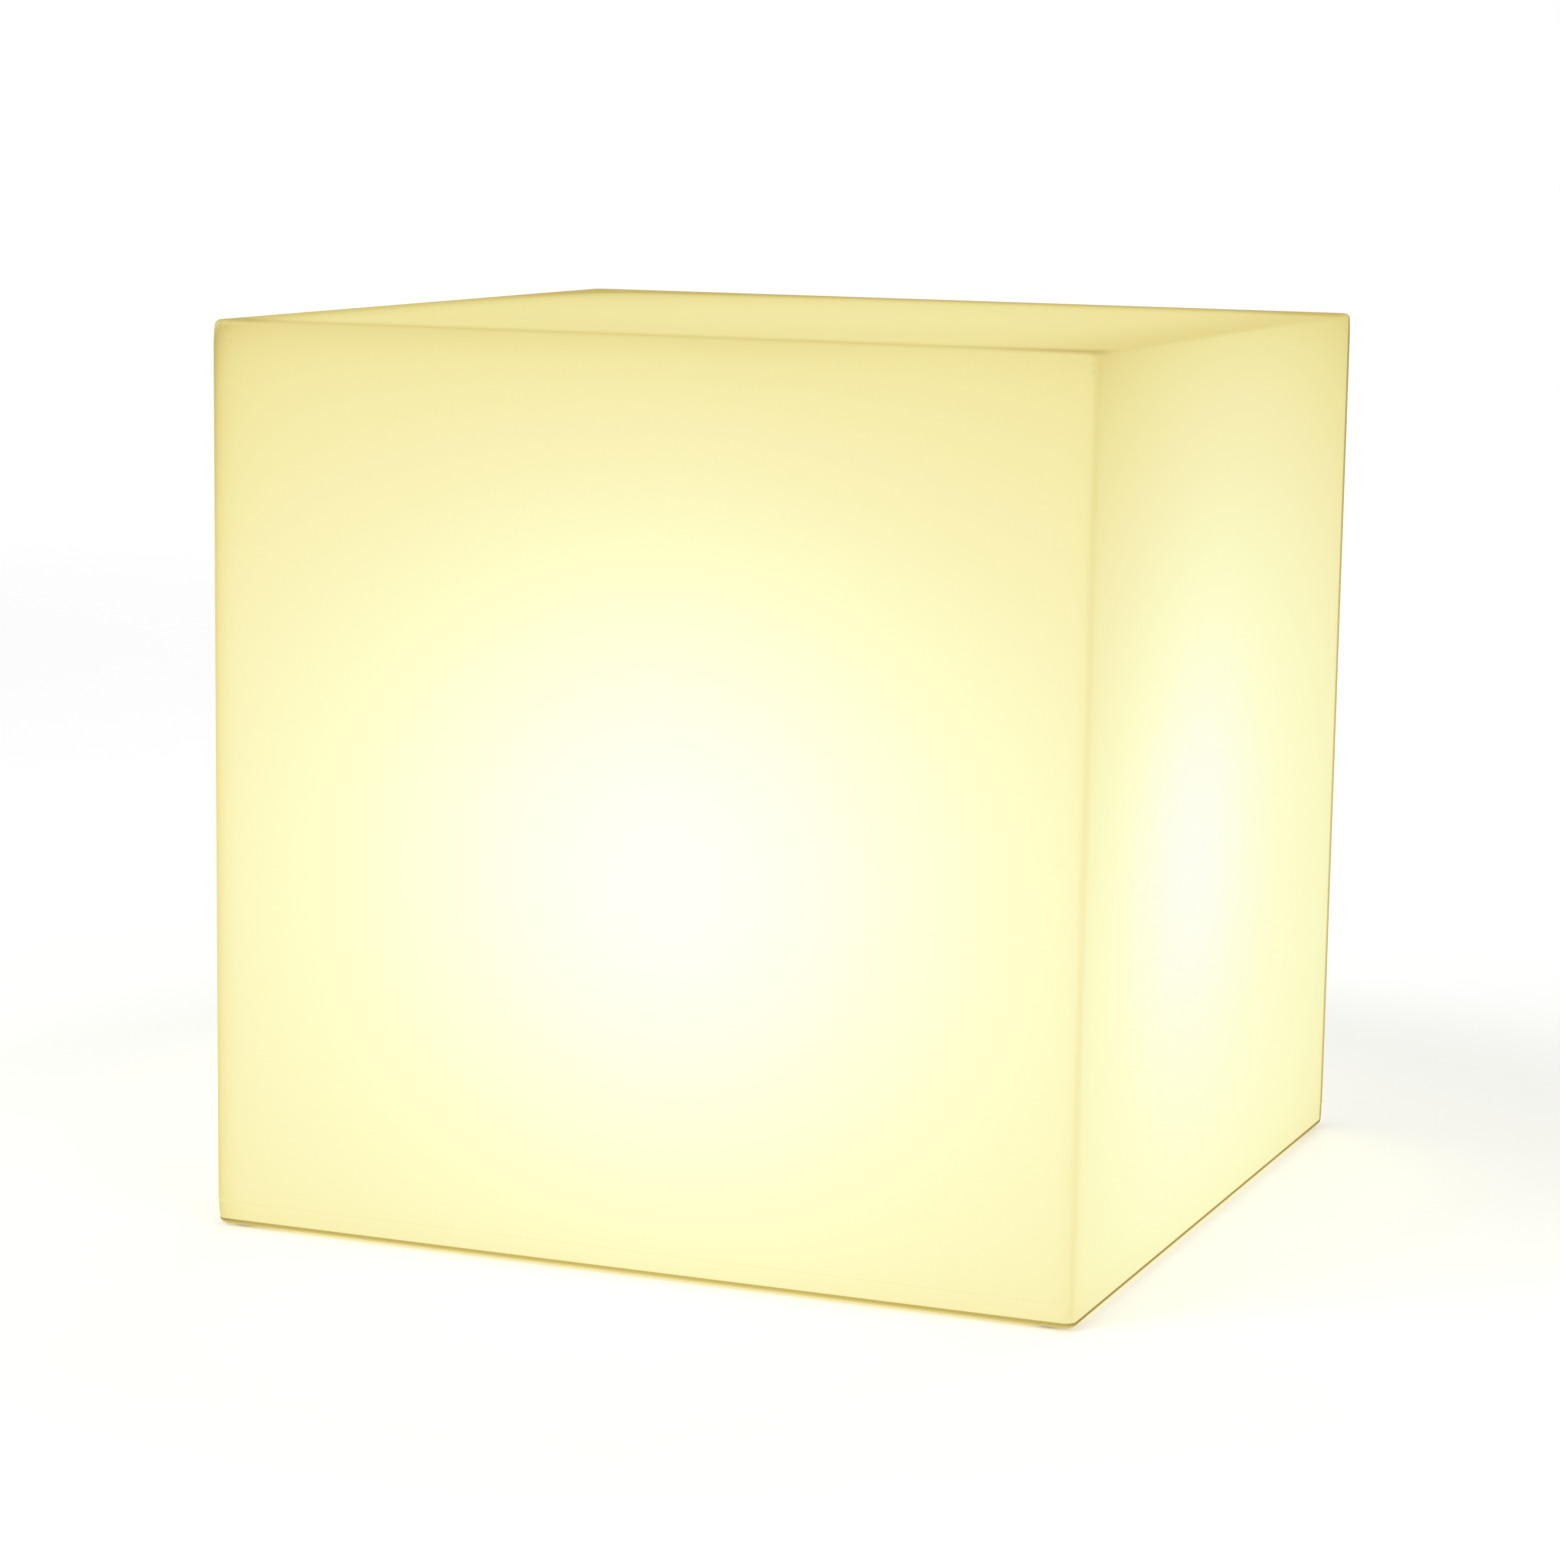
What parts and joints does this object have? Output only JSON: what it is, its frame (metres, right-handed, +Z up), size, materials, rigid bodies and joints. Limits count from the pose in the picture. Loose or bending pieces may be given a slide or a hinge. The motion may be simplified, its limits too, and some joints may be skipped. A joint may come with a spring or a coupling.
{
  "type": "led cube light",
  "caption": "Outdoor cube light: a seamless translucent moulded cube with a recessed base, twist-lock lamp unit, cord gland and screw-in LED bulb.",
  "frame": {"origin": "middle of the underside of the feet", "axes": "+Z up through the top face, +Y to the rear where the cord leaves, +X to the right"},
  "size_m": [0.4, 0.4, 0.401],
  "materials": {
    "translucent_polyethylene": "satin, fine mottled grain, lit from inside",
    "black_rubber": "matt",
    "seal_rubber": "matt",
    "brass": "turned",
    "base_plastic": "fine moulded grain",
    "zinc_steel": "zinc plated",
    "gland_plastic": "satin",
    "terminal_plastic": "satin",
    "brown_lead": "satin",
    "blue_lead": "satin",
    "lampholder_plastic": "fine moulded grain",
    "nickel_shell": "nickel plated",
    "solder_contact": "tinned",
    "cap_glass": "vitreous black",
    "bulb_body_plastic": "satin white",
    "sink_aluminium": "pressed",
    "board_white": "solder mask",
    "led_phosphor": "phosphor",
    "board_green": "solder mask",
    "component_black": "satin",
    "opal_diffuser": "opal, lit from inside"
  },
  "bodies": {
    "cube": {"cube_shell": "translucent_polyethylene", "rubber_feet": "black_rubber", "threaded_inserts": "brass", "bayonet_ring": "base_plastic", "ring_gasket": "seal_rubber", "ring_screws": "zinc_steel"},
    "lamp_unit": {"lamp_carrier": "base_plastic", "carrier_seal": "seal_rubber", "wiring_cover": "base_plastic", "cover_gasket": "seal_rubber", "cover_screws": "zinc_steel", "gland_body": "gland_plastic", "gland_washer": "seal_rubber", "gland_seal": "black_rubber", "gland_nut": "gland_plastic", "gland_locknut": "gland_plastic", "terminal_block": "terminal_plastic", "terminal_clamps": "brass", "terminal_screws": "zinc_steel", "block_screw": "zinc_steel", "live_wire": "brown_lead", "neutral_wire": "blue_lead", "lampholder_housing": "lampholder_plastic", "lampholder_screw_shell": "nickel_shell", "lampholder_centre_contact": "brass", "lampholder_side_contact": "brass", "lampholder_screws": "zinc_steel"},
    "bulb_foot": {"bulb_tip_contact": "solder_contact", "bulb_cap_insulator": "cap_glass"},
    "bulb": {"bulb_cap": "nickel_shell", "bulb_housing": "bulb_body_plastic", "bulb_heat_sink": "sink_aluminium", "bulb_led_board": "board_white", "bulb_led_chips": "led_phosphor", "bulb_driver_board": "board_green", "bulb_driver_parts": "component_black", "bulb_diffuser": "opal_diffuser"}
  },
  "joints": [
    {"name": "lamp_unit_twist", "type": "hinge", "parent": "cube", "child": "lamp_unit", "pos_m": [0, 0, 0.0127], "axis": [0, 0, -1], "range_deg": [0, 40]},
    {"name": "bulb_rise", "type": "slide", "parent": "lamp_unit", "child": "bulb_foot", "axis": [0, 0, 1], "range_m": [0, 0.0128]},
    {"name": "bulb_turn", "type": "hinge", "parent": "bulb_foot", "child": "bulb", "pos_m": [0, 0, 0.0902], "axis": [0, 0, 1], "range_deg": [0, 1260]}
  ],
  "couplings": [
    {"joint": "bulb_rise", "follows": "bulb_turn", "m_per_rad": 0.00057757}
  ]
}
